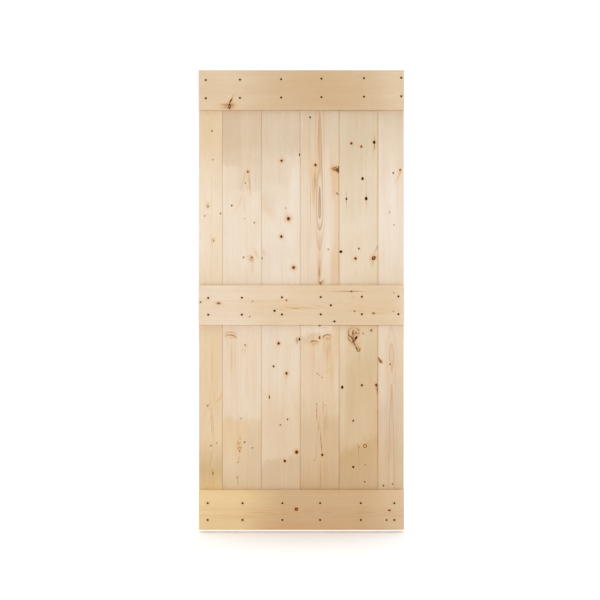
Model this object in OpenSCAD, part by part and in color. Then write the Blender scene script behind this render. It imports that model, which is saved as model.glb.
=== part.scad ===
// Plank barn door slab: tongue-and-groove planks stood side by side, held
// together by three face rails that are screwed on from the front.
// Millimetres. +Z is up, +X is to the right and -Y is the front. The origin is
// the middle of the bottom edge, halfway through the thickness.

/* [Door] */
// Height of the slab
door_h = 2134; // [1700:1:2600]
// Height of the mid rail's lower edge above the bottom of the slab
mid_rail_z = 951; // [500:1:1200]

/* [Planks] */
// Width that each full plank shows
plank_cover = 181; // [145:1:220]
// Width that the left plank shows, after its outer edge is ripped
left_plank_w = 109; // [90:1:160]
// Width that the right plank shows, after its outer edge is ripped
right_plank_w = 120; // [90:1:160]
// Thickness of a plank
plank_t = 17.5; // [14.5:0.1:25]
// Leg of the bevel that makes the V along each joint at the front
v_bevel = 2.4; // [1.5:0.1:3]
// Hairline left open between two planks at the bottom of the V
front_gap = 0.5; // [0.2:0.1:1]
// Leg of the small bevel along each joint at the back
back_bevel = 0.8; // [0.4:0.1:1.5]

/* [Tongue and groove] */
// Thickness of the tongue
tongue_t = 5.5; // [4:0.1:7]
// Length that the tongue stands out of its plank
tongue_len = 6.5; // [4:0.1:10]
// Bevel on the two corners of the tongue's nose
tongue_nose = 0.8; // [0.3:0.1:1.5]
// Room on each side of the tongue in its groove
tongue_play = 0.2; // [0.1:0.05:0.4]
// Room between the tongue's nose and the bottom of the groove
groove_relief = 0.8; // [0.3:0.1:2]

/* [Rails] */
// Width of the rail board, which stands upright on the door
rail_w = 184; // [150:1:225]
// Thickness of a rail
rail_t = 17.5; // [14.5:0.1:25]
// Radius of the eased long edges of a rail and of the slab's outer edges
ease_r = 1.6; // [0.5:0.1:3]

/* [Screws] */
// Radius of the thread's crest
thread_r = 2.1; // [1.5:0.05:2.5]
// Length of the tapered point
point_len = 6; // [4:0.1:8]
// Radius of the countersunk head
head_r = 4.2; // [3.6:0.05:5]
// Height of the straight rim round the head
head_rim = 0.3; // [0.2:0.05:0.6]
// Depth that the head is driven below the wood
head_sink = 0.3; // [0.2:0.05:1]
// Wood left between a screw's tip and the back of the slab
tip_cover = 4.7; // [2:0.1:8]
// Length across the mouth of the cross recess, tip to tip
recess_span = 5; // [3.5:0.1:5.4]
// Width of an arm of the cross recess
recess_arm = 1.1; // [0.6:0.05:1.4]
// Depth of the cross recess
recess_depth = 1.8; // [1:0.1:2]
// Room round the screw in the rail's drilled hole
shank_play = 0.3; // [0.1:0.05:0.5]
// Room round the screw in the hole it cuts in the plank
thread_play = 0.05; // [0.02:0.01:0.1]

/* [Screw places] */
// Top rail: screw insets from the slab's left edge and from its right edge
top_insets = [33, 13]; // [10:1:60]
// Top rail: how far right of its plank's middle each inner screw column is
top_offsets = [-8, 2, 8, 25]; // [-40:1:40]
// Top rail: heights of the two screw rows above the rail's middle
top_rows = [51, -34]; // [-60:1:60]
// Top rail: how much higher each row is at the right edge than at the left
top_rises = [11, 10]; // [-15:1:15]
// Mid rail: screw insets from the slab's left edge and from its right edge
mid_insets = [44, 26]; // [10:1:60]
// Mid rail: how far right of its plank's middle each inner screw column is
mid_offsets = [1, 6, 5, 15]; // [-40:1:40]
// Mid rail: heights of the two screw rows above the rail's middle
mid_rows = [37, -43]; // [-60:1:60]
// Mid rail: how much higher each row is at the right edge than at the left
mid_rises = [8, 3]; // [-15:1:15]
// Bottom rail: screw insets from the slab's left edge and from its right edge
bottom_insets = [42, 45]; // [10:1:60]
// Bottom rail: how far right of its plank's middle each inner screw column is
bottom_offsets = [4, 8, 2, 10]; // [-40:1:40]
// Bottom rail: heights of the two screw rows above the rail's middle
bottom_rows = [32, -46]; // [-60:1:60]
// Bottom rail: how much higher each row is at the right edge than at the left
bottom_rises = [0, 0]; // [-15:1:15]

/* [Hidden] */
$fn = 48;
OVERSHOOT = 1;

door_t = plank_t + rail_t;
// Front face of the planks, where the rails lie on them.
seam_y = rail_t - door_t / 2;

PLANK_NAMES = ["left_plank", "second_plank", "third_plank", "fourth_plank", "fifth_plank", "right_plank"];
plank_widths = [left_plank_w, plank_cover, plank_cover, plank_cover, plank_cover, right_plank_w];
last_plank = len(plank_widths) - 1;

function sum_of(list, count) = count == 0 ? 0 : list[count - 1] + sum_of(list, count - 1);
door_w = sum_of(plank_widths, len(plank_widths));
function plank_left(i) = sum_of(plank_widths, i) - door_w / 2;
function plank_middle(i) = plank_left(i) + plank_widths[i] / 2;

// Each rail: its name, the height of its lower edge, and its screws' insets,
// offsets, rows and rises. Every plank has one column of screws in every rail.
RAILS = [
    ["top_rail", door_h - rail_w, top_insets, top_offsets, top_rows, top_rises],
    ["mid_rail", mid_rail_z, mid_insets, mid_offsets, mid_rows, mid_rises],
    ["bottom_rail", 0, bottom_insets, bottom_offsets, bottom_rows, bottom_rises]
];
function rail_name(rail) = rail[0];
function rail_z(rail) = rail[1];
function screws_name(rail) = str(rail_name(rail), "_screws");
function column_x(rail, i) =
    i == 0 ? rail[2][0] - door_w / 2 :
    i == last_plank ? door_w / 2 - rail[2][1] :
    plank_middle(i) + rail[3][i - 1];
function screw_z(rail, row, i) =
    rail_z(rail) + rail_w / 2 + rail[4][row] + rail[5][row] * column_x(rail, i) / door_w;

groove_t = tongue_t + 2 * tongue_play;
groove_depth = tongue_len + groove_relief;
screw_len = door_t - head_sink - tip_cover;
point_z = screw_len - point_len;
// The head's underside is a 45 degree cone, and so is the countersink, which
// widens to the face of the rail from where that cone starts.
shank_z = head_rim + head_r - thread_r;
countersink_r = head_r + head_sink + head_rim;
rail_hole_r = thread_r + shank_play;

PLANK_COLOR = [0.90, 0.82, 0.71];
RAIL_COLOR = [0.87, 0.76, 0.61];
SCREW_COLOR = [0.16, 0.12, 0.09];

// The groove side of a plank, cut out of its left edge: the bevels, the
// hairline in front of the tongue, and the groove.
module groove_cut() {
    polygon([[-OVERSHOOT, -OVERSHOOT], [v_bevel + OVERSHOOT, -OVERSHOOT],
             [front_gap, v_bevel - front_gap], [front_gap, plank_t / 2], [-OVERSHOOT, plank_t / 2]]);
    polygon([[-OVERSHOOT, plank_t + OVERSHOOT], [back_bevel + OVERSHOOT, plank_t + OVERSHOOT],
             [-OVERSHOOT, plank_t - back_bevel - OVERSHOOT]]);
    translate([-OVERSHOOT, plank_t / 2 - groove_t / 2])
        square([groove_depth + OVERSHOOT, groove_t]);
}

// The bevels of the tongue side, at x = 0, with the plank to its left.
module tongue_side_bevels() {
    polygon([[OVERSHOOT, -OVERSHOOT], [OVERSHOOT, v_bevel + OVERSHOOT], [-v_bevel - OVERSHOOT, -OVERSHOOT]]);
    polygon([[OVERSHOOT, plank_t + OVERSHOOT], [-back_bevel - OVERSHOOT, plank_t + OVERSHOOT],
             [OVERSHOOT, plank_t - back_bevel - OVERSHOOT]]);
}

module tongue() {
    half = tongue_t / 2;
    translate([0, plank_t / 2])
        polygon([[-OVERSHOOT, -half], [tongue_len - tongue_nose, -half], [tongue_len, tongue_nose - half],
                 [tongue_len, half - tongue_nose], [tongue_len - tongue_nose, half], [-OVERSHOOT, half]]);
}

// A square corner less its quarter round, for a corner at the origin of a
// shape that lies in the first quadrant.
module corner_cut(r) {
    difference() {
        translate([-OVERSHOOT, -OVERSHOOT]) square(r + OVERSHOOT);
        translate([r, r]) circle(r);
    }
}

// Section of a plank, its front face along the X axis.
module plank_section(w, groove, tongue) {
    difference() {
        square([w, plank_t]);
        if (groove) groove_cut();
        else {
            corner_cut(ease_r);
            translate([0, plank_t]) mirror([0, 1]) corner_cut(ease_r);
        }
        if (tongue) translate([w, 0]) tongue_side_bevels();
        else {
            translate([w, 0]) mirror([1, 0]) corner_cut(ease_r);
            translate([w, plank_t]) rotate(180) corner_cut(ease_r);
        }
    }
    if (tongue) translate([w, 0]) tongue();
}

module plank(i) {
    color(PLANK_COLOR)
        difference() {
            translate([plank_left(i), seam_y, 0])
                linear_extrude(door_h)
                    plank_section(plank_widths[i], groove = i > 0, tongue = i < last_plank);
            for (rail = RAILS) at_screws(rail, [i]) plank_hole();
        }
}

// Section of a rail: depth along X, height along Y, all four edges eased.
module rail_section() {
    difference() {
        square([rail_t, rail_w]);
        corner_cut(ease_r);
        translate([rail_t, 0]) mirror([1, 0]) corner_cut(ease_r);
        translate([0, rail_w]) mirror([0, 1]) corner_cut(ease_r);
        translate([rail_t, rail_w]) rotate(180) corner_cut(ease_r);
    }
}

module rail(r) {
    color(RAIL_COLOR)
        difference() {
            translate([-door_w / 2, -door_t / 2, rail_z(r)])
                rotate([90, 0, 90])
                    linear_extrude(door_w)
                        rail_section();
            at_screws(r, [0 : last_plank]) rail_hole();
        }
}

// Puts its child at each screw of a rail in the named columns. The child's +Z
// runs into the wood from the front face of the rail.
module at_screws(rail, columns) {
    for (i = columns, row = [0, 1])
        translate([column_x(rail, i), -door_t / 2, screw_z(rail, row, i)])
            rotate([-90, 0, 0])
                children();
}

// Everything below is drawn along +Z from the front face of the rail.
module rail_hole() {
    translate([0, 0, -OVERSHOOT])
        cylinder(h = countersink_r + OVERSHOOT, r1 = countersink_r + OVERSHOOT, r2 = 0);
    translate([0, 0, -OVERSHOOT]) cylinder(h = rail_t + 2 * OVERSHOOT, r = rail_hole_r);
}

// The hole that a screw cuts for itself, thread_play wider and deeper than it.
module plank_hole() {
    translate([0, 0, head_sink]) {
        cylinder(h = point_z, r = thread_r + thread_play);
        translate([0, 0, point_z])
            cylinder(h = point_len + thread_play, r1 = thread_r + thread_play, r2 = thread_play);
    }
}

// Two crossed slots whose ends slope in towards the bottom.
module cross_recess() {
    mouth = recess_span / 2;
    floor = recess_arm / 2;
    for (turn = [0, 90])
        rotate([90, 0, turn])
            linear_extrude(recess_arm, center = true)
                polygon([[-mouth, -OVERSHOOT], [mouth, -OVERSHOOT], [mouth, 0], [floor, recess_depth],
                         [-floor, recess_depth], [-mouth, 0]]);
}

module screw() {
    translate([0, 0, head_sink])
        difference() {
            union() {
                cylinder(h = head_rim, r = head_r);
                translate([0, 0, head_rim])
                    cylinder(h = shank_z - head_rim, r1 = head_r, r2 = thread_r);
                translate([0, 0, shank_z]) cylinder(h = point_z - shank_z, r = thread_r);
                translate([0, 0, point_z]) cylinder(h = point_len, r1 = thread_r, r2 = 0);
            }
            cross_recess();
        }
}

module rail_screws(rail) {
    color(SCREW_COLOR) at_screws(rail, [0 : last_plank]) screw();
}

for (i = [0 : last_plank])
    plank(i);
for (r = RAILS) {
    rail(r);
    rail_screws(r);
}
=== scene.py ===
import math
import random

import bmesh
import bpy
from mathutils import Matrix, Vector


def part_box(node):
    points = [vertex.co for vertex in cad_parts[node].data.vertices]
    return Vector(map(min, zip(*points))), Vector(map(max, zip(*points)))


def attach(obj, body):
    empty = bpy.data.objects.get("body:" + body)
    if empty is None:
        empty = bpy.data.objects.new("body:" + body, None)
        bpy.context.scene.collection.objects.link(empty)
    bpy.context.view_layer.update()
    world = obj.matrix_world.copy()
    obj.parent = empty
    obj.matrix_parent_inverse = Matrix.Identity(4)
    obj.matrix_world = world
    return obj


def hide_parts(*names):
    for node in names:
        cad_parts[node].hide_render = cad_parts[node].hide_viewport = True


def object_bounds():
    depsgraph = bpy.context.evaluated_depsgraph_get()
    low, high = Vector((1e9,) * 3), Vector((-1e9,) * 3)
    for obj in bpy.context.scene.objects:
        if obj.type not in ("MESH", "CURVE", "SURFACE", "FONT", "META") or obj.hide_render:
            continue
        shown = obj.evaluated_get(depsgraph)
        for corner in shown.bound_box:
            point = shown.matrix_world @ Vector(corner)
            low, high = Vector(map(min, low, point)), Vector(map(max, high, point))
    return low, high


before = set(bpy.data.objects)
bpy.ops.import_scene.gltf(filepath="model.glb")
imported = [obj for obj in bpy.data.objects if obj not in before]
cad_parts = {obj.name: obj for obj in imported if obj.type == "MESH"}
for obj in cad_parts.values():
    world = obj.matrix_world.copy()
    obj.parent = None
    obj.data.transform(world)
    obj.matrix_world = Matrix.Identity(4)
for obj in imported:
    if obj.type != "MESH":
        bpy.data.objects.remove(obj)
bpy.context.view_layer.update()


# ---------------------------------------------------------------- Planks
# Six upright boards of knotty softwood, planed and sanded and left bare. Tongues on their
# right edges sit in grooves on their left edges, and a V runs down the front of each joint.
# Every board is cut from a log of its own: its rings, knots and stains run through it.
MM = 0.001
TONGUE = 6.5
STAINED_DEPTH = 9.0
# How far the painted shade under a rail reaches down the board.
PAINTED_SHADE_WIDTH = 3.4
SAWN_DEPTH = 0.2
DEEPEST_PITH = 100


def shade(red, green, blue):
    """A colour as paint charts give it, 0 to 255, in the renderer's linear values."""
    parts = [channel / 255 for channel in (red, green, blue)]
    linear = [c / 12.92 if c <= 0.04045 else ((c + 0.055) / 1.055) ** 2.4 for c in parts]
    return (*linear, 1.0)


PALE = shade(239, 222, 202)
CREAM = shade(234, 214, 190)
SAND = shade(229, 204, 172)
FAWN = shade(221, 199, 172)
TAN = shade(219, 191, 156)
HONEY = shade(209, 175, 133)
STRAW = shade(233, 202, 152)
APRICOT = shade(227, 192, 152)

LATEWOOD = shade(178, 124, 80)
RESIN_DUCT = shade(176, 132, 88)
KNOT_HALO = shade(224, 170, 126)
SAWN_END = shade(216, 184, 142)
SAWN_LATEWOOD = shade(170, 120, 76)
# The colour of the painted shade under the rails.
PAINTED_RAIL_SHADE = shade(120, 84, 52)
RESIN = [(0.0, shade(232, 194, 144)), (0.4, shade(212, 162, 106)), (0.75, shade(164, 108, 60)),
         (1.0, shade(92, 50, 20))]
DEAD_KNOT = [(0.0, shade(34, 13, 3)), (0.6, shade(48, 22, 6)), (1.0, shade(104, 60, 22))]
LIVE_KNOT = [(0.0, shade(44, 18, 5)), (0.32, shade(80, 40, 14)), (0.72, shade(152, 100, 56)),
             (1.0, shade(116, 68, 32))]
RING_KNOT = [(0.0, shade(224, 180, 132)), (0.28, shade(180, 122, 76)), (0.44, shade(70, 28, 8)),
             (0.85, shade(58, 23, 6)), (1.0, shade(124, 74, 40))]

# How each kind of knot looks (0 dead, 1 live, 2 ring), its length against its width, and how
# far it pushes the grain aside for its size. A bored hole's rim is painted dark too, partly for
# its crushed fibres and partly as painted shade in its countersink, but it pushes nothing aside.
KNOT_KINDS = {"pin": (0.3, 1.1, 0.5), "dead": (0.0, 1.25, 1.2), "live": (1.0, 1.1, 2.0),
              "ring": (2.0, 1.2, 2.0), "bored": (0.5, 1.0, 0.0)}


def new_material(name):
    material = bpy.data.materials.new(name)
    material.use_nodes = True
    return material, material.node_tree, material.node_tree.nodes["Principled BSDF"]


def new_node(tree, kind, **settings):
    node = tree.nodes.new("ShaderNode" + kind)
    for name, value in settings.items():
        setattr(node, name, value)
    return node


def feed(tree, socket, value):
    """Links a socket to another node's output, or sets it to a plain value."""
    if isinstance(value, bpy.types.NodeSocket):
        tree.links.new(value, socket)
    else:
        socket.default_value = value


def calc(tree, operation, *values, clamp=False):
    node = new_node(tree, "Math", operation=operation, use_clamp=clamp)
    for socket, value in zip(node.inputs, values):
        feed(tree, socket, value)
    return node.outputs[0]


def split(tree, vector):
    node = new_node(tree, "SeparateXYZ")
    feed(tree, node.inputs[0], vector)
    return node.outputs


def calc_vector(tree, operation, *values):
    node = new_node(tree, "VectorMath", operation=operation)
    for socket, value in zip(node.inputs, values):
        feed(tree, socket, value)
    return node.outputs["Value" if operation in ("LENGTH", "DOT_PRODUCT") else "Vector"]


def ramp(tree, factor, stops, smooth="LINEAR"):
    node = new_node(tree, "ValToRGB")
    node.color_ramp.interpolation = smooth
    elements = node.color_ramp.elements
    while len(elements) < len(stops):
        elements.new(0.5)
    while len(elements) > len(stops):
        elements.remove(elements[-1])
    for element, (position, colour) in zip(elements, stops):
        element.position = position
        element.color = colour if isinstance(colour, tuple) else (colour, colour, colour, 1)
    feed(tree, node.inputs["Fac"], factor)
    return node.outputs["Color"]


def mix(tree, factor, under, over, blend="MIX"):
    # A Mix node keeps its colours on inputs 6 and 7 and gives the mixed one on output 2.
    node = new_node(tree, "Mix", data_type="RGBA", blend_type=blend, clamp_factor=True)
    feed(tree, node.inputs[0], factor)
    feed(tree, node.inputs[6], under)
    feed(tree, node.inputs[7], over)
    return node.outputs[2]


def noise(tree, place, detail=2.0, output="Fac", **settings):
    node = new_node(tree, "TexNoise", **settings)
    feed(tree, node.inputs["Vector"], place)
    node.inputs["Scale"].default_value = 1.0
    node.inputs["Detail"].default_value = detail
    return node.outputs[output]


def swing(tree, place, detail):
    """Noise in three directions, each from about -0.5 to 0.5."""
    return calc_vector(tree, "SUBTRACT", noise(tree, place, detail, "Color"), (0.5, 0.5, 0.5))


def vary(tree, colour, factor, lift):
    """Lightens a colour where the factor is low and darkens it where it is high, by the same
    share each way in red, green and blue, so that its mean stays what it was."""
    lighter = calc(tree, "MULTIPLY_ADD", factor, -2.0, 1.0)
    return mix(tree, 1.0, colour, calc_vector(tree, "MULTIPLY_ADD", lighter, lift, (1, 1, 1)), "MULTIPLY")


def between(tree, value, low, high, soft):
    """1 between two bounds and 0 outside them, with edges that are softened either side."""
    off = calc(tree, "ABSOLUTE", calc(tree, "SUBTRACT", value, (low + high) / 2))
    edge = new_node(tree, "MapRange", interpolation_type="SMOOTHSTEP")
    for label, number in (("From Min", (high - low) / 2 - soft), ("From Max", (high - low) / 2 + soft),
                          ("To Min", 1.0), ("To Max", 0.0)):
        edge.inputs[label].default_value = number
    feed(tree, edge.inputs["Value"], off)
    return edge.outputs[0]


def bell(tree, steps_squared):
    """1 at the middle, about a third one step out and next to nothing two steps out."""
    return calc(tree, "POWER", 0.37, steps_squared)


def stretched(tree, place, across, along):
    """Place measured in steps of so many millimetres across the grain and along it."""
    return calc_vector(tree, "MULTIPLY", place, (1 / across, 1 / across, 1 / along))


def emboss(tree, shader, relief, strength, depth):
    bump = new_node(tree, "Bump")
    bump.inputs["Strength"].default_value = strength
    bump.inputs["Distance"].default_value = depth
    feed(tree, bump.inputs["Height"], relief)
    feed(tree, shader.inputs["Normal"], bump.outputs["Normal"])


def new_group(name, inputs, outputs):
    """A node group whose sockets are floats, or vectors where the default has three parts."""
    tree = bpy.data.node_groups.new(name, "ShaderNodeTree")
    for label, default in inputs.items():
        kind = "NodeSocketFloat" if isinstance(default, float) else "NodeSocketVector"
        tree.interface.new_socket(label, in_out="INPUT", socket_type=kind).default_value = default
    for label in outputs:
        tree.interface.new_socket(label, in_out="OUTPUT", socket_type="NodeSocketFloat")
    return tree, tree.nodes.new("NodeGroupInput"), tree.nodes.new("NodeGroupOutput")


def turned_offset(tree, into):
    """How far a place is from a mark's centre, turned to lie square with the mark."""
    off = calc_vector(tree, "SUBTRACT", into.outputs["Place"], into.outputs["Centre"])
    turn = new_node(tree, "VectorRotate", rotation_type="Y_AXIS")
    feed(tree, turn.inputs["Vector"], off)
    feed(tree, turn.inputs["Angle"], into.outputs["Turn"])
    return turn.outputs[0]


def length_of(tree, first, second):
    squares = calc(tree, "MULTIPLY_ADD", first, first, calc(tree, "MULTIPLY", second, second))
    return calc(tree, "SQRT", squares)


def knot_group():
    """One knot: adds its push to the grain, and keeps the nearest knot's rim and kind.
    Rim is 0 at a knot's heart and 1 at its edge."""
    tree, into, out = new_group(
        "knot",
        {"Place": (0.0, 0.0, 0.0), "Centre": (0.0, 0.0, 0.0), "Turn": 0.0, "Radius": 5.0,
         "Stretch": 1.2, "Kind": 0.0, "Push": 1.0, "Push so far": 0.0, "Rim so far": 9.0,
         "Kind so far": 0.0},
        ["Push", "Rim", "Kind"])
    x, y, z = split(tree, turned_offset(tree, into))
    # The branch rises a little as it runs outwards through the board.
    rise = calc(tree, "MULTIPLY_ADD", y, 0.25, z)
    across = calc(tree, "DIVIDE", x, into.outputs["Radius"])
    along = calc(tree, "DIVIDE", rise, into.outputs["Radius"])
    rim = length_of(tree, across, calc(tree, "DIVIDE", along, into.outputs["Stretch"]))
    nearer = calc(tree, "LESS_THAN", rim, into.outputs["Rim so far"])
    feed(tree, out.inputs["Rim"], calc(tree, "MINIMUM", rim, into.outputs["Rim so far"]))
    change = calc(tree, "SUBTRACT", into.outputs["Kind"], into.outputs["Kind so far"])
    feed(tree, out.inputs["Kind"], calc(tree, "MULTIPLY_ADD", nearer, change, into.outputs["Kind so far"]))
    wide = calc(tree, "MULTIPLY", calc(tree, "MULTIPLY", across, across), 0.16)
    tall = calc(tree, "MULTIPLY", calc(tree, "MULTIPLY", along, along), 0.02)
    fade = bell(tree, calc(tree, "ADD", wide, tall))
    push = calc(tree, "MULTIPLY", into.outputs["Push"], into.outputs["Radius"])
    feed(tree, out.inputs["Push"], calc(tree, "MULTIPLY_ADD", fade, push, into.outputs["Push so far"]))
    return tree


# The half size of a mark in a direction in which it has no end.
BOUNDLESS = 1e6


def stain_group():
    """One stain of resin or bark: a soft spot or streak, or with Hollow 1 an arch of dark grain
    that fades out at its feet."""
    tree, into, out = new_group(
        "stain",
        {"Place": (0.0, 0.0, 0.0), "Centre": (0.0, 0.0, 0.0), "Turn": 0.0,
         "Half size": (5.0, BOUNDLESS, 20.0), "Hollow": 0.0, "Strength": 0.5, "So far": 0.0},
        ["Stain"])
    off = calc_vector(tree, "DIVIDE", turned_offset(tree, into), into.outputs["Half size"])
    along = calc_vector(tree, "DOT_PRODUCT", off, (0, 0, 1))
    from_band = calc(tree, "SUBTRACT", calc_vector(tree, "LENGTH", off), into.outputs["Hollow"])
    steps = calc(tree, "MULTIPLY", from_band, calc(tree, "MULTIPLY_ADD", into.outputs["Hollow"], 4.0, 1.0))
    fade = bell(tree, calc(tree, "MULTIPLY", steps, steps))
    whole = calc(tree, "SUBTRACT", 1.0, into.outputs["Hollow"])
    crown = calc(tree, "MULTIPLY_ADD", along, into.outputs["Hollow"], whole, clamp=True)
    feed(tree, out.inputs["Stain"], calc(tree, "MULTIPLY_ADD", calc(tree, "MULTIPLY", fade, crown),
                                         into.outputs["Strength"], into.outputs["So far"]))
    return tree


KNOT = knot_group()
STAIN = stain_group()


def add_group(tree, group, **values):
    node = new_node(tree, "Group", node_tree=group)
    for label, value in values.items():
        feed(tree, node.inputs[label.replace("_", " ")], value)
    return node


def softwood(name, middle, front, length, lying, log):
    """Bare softwood for one board. Inside, place is in millimetres: across the board from its
    middle, into it from its front, and along it from its foot. A rail is a board lying on its
    side with its foot to the left, so its across runs downwards."""
    material, tree, shader = new_material(name)
    board = new_node(tree, "Mapping", vector_type="POINT")
    feed(tree, board.inputs["Vector"], new_node(tree, "TexCoord").outputs["Object"])
    board.inputs["Scale"].default_value = (1 / MM,) * 3
    if lying:
        board.inputs["Rotation"].default_value = (0, math.radians(-90), 0)
        board.inputs["Location"].default_value = (middle, -front, length / 2)
    else:
        board.inputs["Location"].default_value = (-middle, -front, 0)
    place = board.outputs["Vector"]
    # Its noise is read at a place of its own, far from every other board's.
    own = calc_vector(tree, "ADD", place, [log["seed"] * step for step in (71.3, 39.7, 813.1)])

    # Knots and stains have slightly ragged outlines, apart from bored holes.
    ragged = swing(tree, stretched(tree, own, 5, 8), detail=3)
    ragged = calc_vector(tree, "MULTIPLY_ADD", ragged, (4.0, 0.0, 5.0), place)

    push, rim, kind = 0.0, 9.0, 0.0
    for across, along, radius, knot, *shape in log["knots"]:
        look, stretch, strength = KNOT_KINDS[knot]
        stretch, lean = shape or (stretch, 0)
        around = place if knot == "bored" else ragged
        node = add_group(tree, KNOT, Place=around, Centre=(across, 0, along), Turn=math.radians(-lean),
                         Radius=radius, Stretch=stretch, Kind=look, Push=strength, Push_so_far=push,
                         Rim_so_far=rim, Kind_so_far=kind)
        push, rim, kind = (node.outputs[label] for label in ("Push", "Rim", "Kind"))
    stain = 0.0
    for across, along, half_width, half_length, strength, *shape in log["stains"]:
        lean, hollow = (*shape, 0, 0)[:2]
        node = add_group(tree, STAIN, Place=ragged, Centre=(across, 0, along), Turn=math.radians(-lean),
                         Half_size=(half_width, BOUNDLESS, half_length), Hollow=hollow,
                         Strength=strength, So_far=stain)
        stain = node.outputs["Stain"]

    # The pith runs behind the board, and where it comes nearest the rings close into arches.
    across, inward, along = split(tree, place)
    pith = [(height / length, depth / DEEPEST_PITH) for height, depth in log["pith"]]
    share = calc(tree, "DIVIDE", along, length)
    depth = calc(tree, "MULTIPLY", ramp(tree, share, pith, "CARDINAL"), DEEPEST_PITH)
    sway = swing(tree, stretched(tree, own, 80, 380), detail=1.5)
    sway = split(tree, calc_vector(tree, "MULTIPLY", sway, (log["sway"],) * 3))
    sideways = calc(tree, "SUBTRACT", across, log["pith_across"])
    sideways = calc(tree, "ADD", sideways, sway["X"])
    radius = length_of(tree, sideways, calc(tree, "SUBTRACT", inward, depth))
    ripple = noise(tree, stretched(tree, own, 14, 90), detail=2)
    ripple = calc(tree, "MULTIPLY", calc(tree, "SUBTRACT", ripple, 0.5), 0.1 * log["sway"])
    ripple = calc(tree, "ADD", ripple, sway["Y"])
    radius = calc(tree, "ADD", radius, calc(tree, "ADD", push, ripple))
    rings = calc(tree, "DIVIDE", radius, log["ring_width"])
    year = calc(tree, "FRACT", rings)
    late = ramp(tree, year, [(0.0, 0.0), (0.3, 0.08), (0.62, 0.55), (0.84, 1.0), (0.94, 0.9), (1.0, 0.0)])
    weather = new_node(tree, "TexNoise", noise_dimensions="1D")
    feed(tree, weather.inputs["W"], calc(tree, "MULTIPLY_ADD", rings, 0.55, log["seed"]))
    weather.inputs["Scale"].default_value = 1.0
    weather.inputs["Detail"].default_value = 2.0
    seasons = ramp(tree, weather.outputs[0], [(0.35, log["faintest"]), (0.6, 1.0)])
    patches = noise(tree, stretched(tree, own, 45, 380), detail=2)
    patches = ramp(tree, patches, [(0.38, 0.25 + log["faintest"] * 0.6), (0.62, 1.0)])
    clear = ramp(tree, share, [(height / length, strength) for height, strength in log["figure"]])
    figure = calc(tree, "MULTIPLY", calc(tree, "MULTIPLY", seasons, patches), clear)
    figure = calc(tree, "MULTIPLY", late, figure)
    reach = calc(tree, "DIVIDE", radius, log["reach"])
    figure = calc(tree, "MULTIPLY", figure, bell(tree, calc(tree, "MULTIPLY", reach, reach)))

    # Tone from foot to head, and the zones that differ, all with soft uneven borders. Tone and zones
    # are partly the wood's own colour and partly painted light: paler where the light fell brightest
    # and darker where it fell off.
    drift = swing(tree, stretched(tree, own, 34, 46), detail=3)
    drift = split(tree, calc_vector(tree, "MULTIPLY_ADD", drift, (16, 0, 70), place))
    height = calc(tree, "MULTIPLY_ADD", drift["X"], -log["slant"], drift["Z"])
    wood = ramp(tree, calc(tree, "DIVIDE", height, length), log["tone"])
    for left, right, foot, head, soft, soft_end, colour, strength in log["zones"]:
        inside = calc(tree, "MULTIPLY", between(tree, drift["X"], left, right, soft),
                      between(tree, height, foot, head, soft_end))
        wood = mix(tree, calc(tree, "MULTIPLY", inside, strength), wood, colour)
    wood = mix(tree, 1.0, wood, (*log["cast"], 1), "MULTIPLY")
    blush = noise(tree, stretched(tree, own, 42, 260), detail=3)
    wood = vary(tree, wood, blush, (0.02, 0.08, 0.13))
    bands = noise(tree, stretched(tree, own, 13, 900), detail=3)
    wood = vary(tree, wood, bands, (0.04, 0.055, 0.065))
    fibres = noise(tree, stretched(tree, own, 0.9, 38), detail=4)
    wood = vary(tree, wood, fibres, (0.08, 0.11, 0.15))
    wood = mix(tree, figure, wood, LATEWOOD)
    ducts = ramp(tree, noise(tree, stretched(tree, own, 0.8, 9), detail=1), [(0.7, 0.0), (0.76, 0.35)])
    wood = mix(tree, ducts, wood, RESIN_DUCT)

    # Stains, broken up along the fibres and fainter deep in the board, then the knots with a
    # warm halo round each.
    broken = ramp(tree, noise(tree, stretched(tree, own, 3.2, 5.5), detail=2), [(0.3, 0.8), (0.6, 1.12)])
    broken = calc(tree, "MULTIPLY", broken, calc(tree, "MULTIPLY_ADD", fibres, 0.8, 0.6))
    shallow = between(tree, inward, -STAINED_DEPTH, STAINED_DEPTH, 4.0)
    broken = calc(tree, "MULTIPLY", broken, calc(tree, "MULTIPLY_ADD", shallow, 0.75, 0.25))
    stain = calc(tree, "MULTIPLY", stain, broken, clamp=True)
    wood = mix(tree, calc(tree, "POWER", stain, 0.8), wood, ramp(tree, stain, RESIN))
    halo = ramp(tree, calc(tree, "MULTIPLY", rim, 0.25), [(0.25, 0.6), (0.32, 0.38), (0.7, 0.0)])
    halo = calc(tree, "MULTIPLY", halo, calc(tree, "MULTIPLY_ADD", kind, 0.35, 0.4, clamp=True))
    wood = mix(tree, halo, wood, KNOT_HALO)
    knot = mix(tree, calc(tree, "MULTIPLY", kind, 1.0, clamp=True), ramp(tree, rim, DEAD_KNOT),
               ramp(tree, rim, LIVE_KNOT))
    knot = mix(tree, calc(tree, "SUBTRACT", kind, 1.0, clamp=True), knot, ramp(tree, rim, RING_KNOT))
    inside = ramp(tree, rim, [(0.85, 1.0), (1.0, 0.0)])
    wood = mix(tree, inside, wood, knot)

    # Painted shade: a dark strip in the corner under each rail that crosses the board, where the rail's
    # shadow falls.
    for rail in [] if lying else ["top_rail", "mid_rail"]:
        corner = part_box(rail)[0].z / MM
        rail_shadow_strip = between(tree, along, corner - PAINTED_SHADE_WIDTH, corner + 1, 0.6)
        rail_shadow_strip = calc(tree, "MULTIPLY", rail_shadow_strip, calc(tree, "MULTIPLY", shallow, log["rail_shade_strength"]))
        wood = mix(tree, rail_shadow_strip, wood, PAINTED_RAIL_SHADE)

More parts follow.
